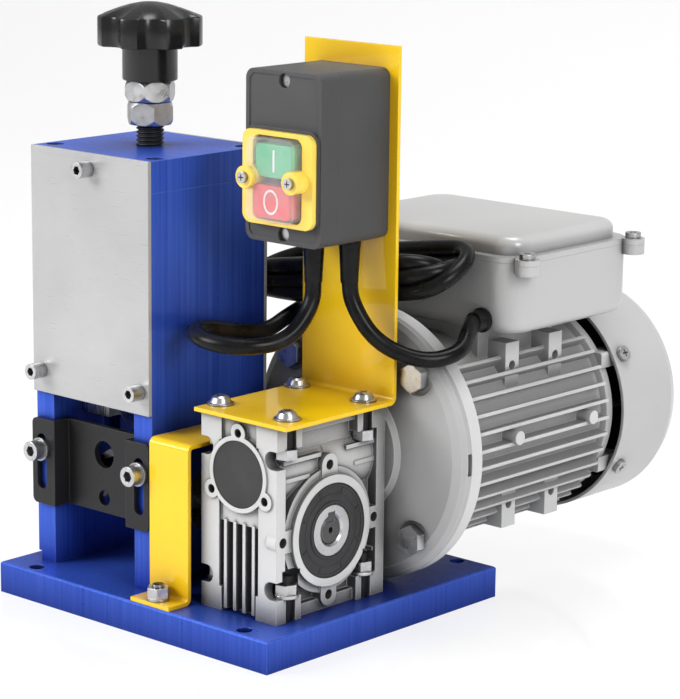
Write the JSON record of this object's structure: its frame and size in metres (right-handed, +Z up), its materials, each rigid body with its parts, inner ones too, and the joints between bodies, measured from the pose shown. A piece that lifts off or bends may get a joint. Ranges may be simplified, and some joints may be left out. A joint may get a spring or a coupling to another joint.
{
  "type": "wire cutting and stripping machine",
  "caption": "Bench machine that feeds cable between a driven toothed roller and a height-adjustable round blade; worm gearbox, single-phase motor, switch box on a bracket",
  "frame": {"origin": "centre of the base plate's underside", "axes": "+Z up, +X to the right along the front edge, +Y towards the back"},
  "size_m": [0.2232, 0.299, 0.3014],
  "materials": {
    "blue_metal": "anodised, brushed",
    "cover_steel": "brushed",
    "yellow_paint": "gloss paint",
    "grey_cast": "sprayed casting",
    "grey_box": "satin paint",
    "steel": "machined",
    "zinc": "bright zinc",
    "black_steel": "blackened",
    "black_plastic": "fine grain",
    "knob_plastic": "gloss",
    "yellow_plastic": "satin",
    "green_plastic": "satin",
    "red_plastic": "satin",
    "clear_film": "clear",
    "black_rubber": "smooth",
    "copper": "wound wire",
    "bronze": "machined"
  },
  "bodies": {
    "frame": {"base_plate": "blue_metal", "left_side_plate": "blue_metal", "right_side_plate": "blue_metal", "top_plate": "blue_metal", "front_cover": "cover_steel", "rear_cover": "cover_steel", "shaft_guard": "yellow_paint", "switch_bracket": "yellow_paint", "gearbox_housing": "grey_cast", "gearbox_side_cover": "grey_cast", "input_flange": "grey_cast", "motor_end_shields": "grey_cast", "motor_frame": "grey_cast", "terminal_box": "grey_box", "terminal_lid": "grey_box", "fan_cowl": "grey_box", "shaft_bearings": "steel", "rotor_bearings": "steel", "cover_screws": "zinc", "guide_plate_screws": "zinc", "base_studs": "zinc", "flange_bolts": "zinc", "bracket_screws": "zinc", "motor_screws": "zinc", "switch_screws": "zinc", "tower_screws": "black_steel", "switch_base": "black_plastic", "switch_cover": "black_plastic", "switch_module": "black_plastic", "capacitor": "black_plastic", "switch_bezel": "yellow_plastic", "membrane": "clear_film", "output_seals": "black_rubber", "worm_end_cap": "black_rubber", "cord_grommets": "black_rubber", "motor_lead": "black_rubber", "mains_lead": "black_rubber", "mains_tail": "black_rubber", "mains_coil": "black_rubber", "plug": "black_rubber", "stator": "copper"},
    "guide": {"guide_plate": "black_steel"},
    "carrier": {"blade_carrier": "steel", "carrier_cap": "steel", "blade_bearings": "steel"},
    "blade_rotor": {"blade": "steel", "blade_shaft": "steel"},
    "adjuster": {"adjusting_screw": "black_steel", "knob": "knob_plastic", "knob_nut": "zinc"},
    "locknut": {"lock_nut": "zinc"},
    "output": {"drive_shaft": "steel", "feed_roller": "steel", "hollow_shaft": "steel", "worm_wheel": "bronze"},
    "motor_rotor": {"rotor": "steel", "worm": "steel", "fan": "black_plastic"},
    "start_key": {"start_button": "green_plastic"},
    "stop_key": {"stop_button": "red_plastic"}
  },
  "joints": [
    {"name": "guide_slide", "type": "slide", "parent": "frame", "child": "guide", "axis": [0, 0, 1], "range_m": [-0.004, 0.0135]},
    {"name": "carrier_slide", "type": "slide", "parent": "frame", "child": "carrier", "axis": [0, 0, 1], "range_m": [-0.01, 0.012]},
    {"name": "knob_turn", "type": "hinge", "parent": "carrier", "child": "adjuster", "pos_m": [-0.0427, -0.0272, 0.2], "axis": [0, 0, 1], "range_deg": [-1830, 2190]},
    {"name": "lock_nut_turn", "type": "hinge", "parent": "adjuster", "child": "locknut", "pos_m": [-0.0427, -0.0272, 0.246], "axis": [0, 0, 1], "continuous": true},
    {"name": "blade_spin", "type": "hinge", "parent": "carrier", "child": "blade_rotor", "pos_m": [-0.0427, -0.0272, 0.1075], "axis": [1, 0, 0], "continuous": true},
    {"name": "output_spin", "type": "hinge", "parent": "frame", "child": "output", "pos_m": [0.0552, -0.0272, 0.056], "axis": [1, 0, 0], "continuous": true},
    {"name": "motor_spin", "type": "hinge", "parent": "frame", "child": "motor_rotor", "pos_m": [0.0552, 0, 0.086], "axis": [0, 1, 0], "continuous": true},
    {"name": "start_press", "type": "slide", "parent": "frame", "child": "start_key", "axis": [0, 1, 0], "range_m": [0, 0.0035], "stiffness_N_per_m": 600, "springref_m": -0.001},
    {"name": "stop_press", "type": "slide", "parent": "frame", "child": "stop_key", "axis": [0, 1, 0], "range_m": [0, 0.0035], "stiffness_N_per_m": 600, "springref_m": -0.001}
  ],
  "couplings": [
    {"joint": "knob_turn", "follows": "carrier_slide", "rad_per_m": 3141.6},
    {"joint": "motor_spin", "follows": "output_spin", "ratio": 30}
  ]
}
